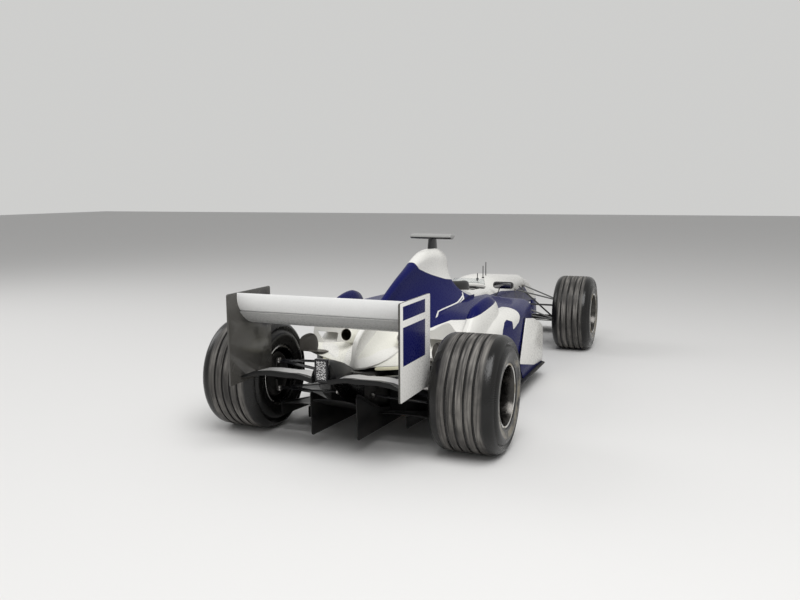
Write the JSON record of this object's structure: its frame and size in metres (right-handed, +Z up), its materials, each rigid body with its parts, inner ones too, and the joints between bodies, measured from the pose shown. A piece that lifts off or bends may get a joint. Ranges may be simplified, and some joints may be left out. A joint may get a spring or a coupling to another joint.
{
  "type": "open wheel racing car",
  "caption": "Single seat open wheel racing car with grooved tyres, wings at both ends, side pods, turning wheels and working steering.",
  "frame": {"origin": "on the ground under the middle of the car's overall length, on its centre plane", "axes": "+Z up, nose along -Y, the driver's right along -X"},
  "size_m": [1.8, 4.697, 1.13],
  "materials": {
    "white_paint": "painted composite, glossy",
    "navy_paint": "painted composite, glossy",
    "carbon": "lacquered carbon fibre",
    "carbon_matte": "bare carbon fibre",
    "skid_board": "worn laminated board",
    "tyre_rubber": "worn grooved tread",
    "wheel_alloy": "dusty cast alloy",
    "upright_alloy": "machined",
    "core_alloy": "finned core",
    "engine_alloy": "cast",
    "case_alloy": "black coated casting",
    "steel": "satin steel",
    "pipe_steel": "heat stained steel",
    "clear_screen": "clear",
    "light_lens": "speckled grey lens in a black box",
    "pad": "padded collar",
    "grip": "moulded grips"
  },
  "bodies": {
    "chassis": {"monocoque": "white_paint", "nose_cone": "white_paint", "front_wing": "white_paint", "front_endplates": "white_paint", "engine_cover": "navy_paint", "camera_pod": "carbon", "sidepod_left": "navy_paint", "sidepod_right": "navy_paint", "radiators": "core_alloy", "floor": "carbon_matte", "plank": "skid_board", "diffuser": "carbon_matte", "side_vanes": "white_paint", "bargeboards": "navy_paint", "winglets": "white_paint", "mirrors": "navy_paint", "windscreen": "clear_screen", "seat": "carbon_matte", "headrest": "pad", "engine_block": "engine_alloy", "gearbox_case": "case_alloy", "rear_light": "light_lens", "tailpipes": "pipe_steel", "rear_wing_main": "carbon", "rear_wing_flap": "white_paint", "rear_endplates": "white_paint", "beam_wing": "carbon", "front_wishbones": "carbon", "rear_uprights": "upright_alloy", "rear_wishbones": "carbon", "antennas": "carbon_matte"},
    "steering_wheel": {"steering_wheel": "grip"},
    "rack": {"track_rods": "carbon"},
    "knuckle_left": {"upright_front_left": "upright_alloy"},
    "knuckle_right": {"upright_front_right": "upright_alloy"},
    "wheel_front_left": {"rim_front_left": "wheel_alloy", "tyre_front_left": "tyre_rubber"},
    "wheel_front_right": {"rim_front_right": "wheel_alloy", "tyre_front_right": "tyre_rubber"},
    "wheel_rear_left": {"rim_rear_left": "wheel_alloy", "tyre_rear_left": "tyre_rubber", "driveshaft_left": "steel"},
    "wheel_rear_right": {"rim_rear_right": "wheel_alloy", "tyre_rear_right": "tyre_rubber", "driveshaft_right": "steel"}
  },
  "joints": [
    {"name": "steer_left", "type": "hinge", "parent": "chassis", "child": "knuckle_left", "pos_m": [0.6, -1.3485, 0.33], "axis": [0, 0, 1], "range_deg": [-14, 14]},
    {"name": "steer_right", "type": "hinge", "parent": "chassis", "child": "knuckle_right", "pos_m": [-0.6, -1.3485, 0.33], "axis": [0, 0, 1], "range_deg": [-14, 14]},
    {"name": "rack_slide", "type": "slide", "parent": "chassis", "child": "rack", "axis": [1, 0, 0], "range_m": [-0.021, 0.021]},
    {"name": "steering_turn", "type": "hinge", "parent": "chassis", "child": "steering_wheel", "pos_m": [0, -0.3185, 0.588], "axis": [0, -0.9766, -0.2149], "range_deg": [-142, 142]},
    {"name": "spin_front_left", "type": "hinge", "parent": "knuckle_left", "child": "wheel_front_left", "pos_m": [0.7225, -1.3485, 0.33], "axis": [1, 0, 0], "continuous": true},
    {"name": "spin_front_right", "type": "hinge", "parent": "knuckle_right", "child": "wheel_front_right", "pos_m": [-0.7225, -1.3485, 0.33], "axis": [1, 0, 0], "continuous": true},
    {"name": "spin_rear_left", "type": "hinge", "parent": "chassis", "child": "wheel_rear_left", "pos_m": [0.71, 1.7515, 0.33], "axis": [1, 0, 0], "continuous": true},
    {"name": "spin_rear_right", "type": "hinge", "parent": "chassis", "child": "wheel_rear_right", "pos_m": [-0.71, 1.7515, 0.33], "axis": [1, 0, 0], "continuous": true}
  ],
  "couplings": [
    {"joint": "steer_right", "follows": "steer_left", "ratio": 1},
    {"joint": "rack_slide", "follows": "steer_left", "m_per_rad": -0.08},
    {"joint": "steering_turn", "follows": "steer_left", "ratio": -10}
  ]
}
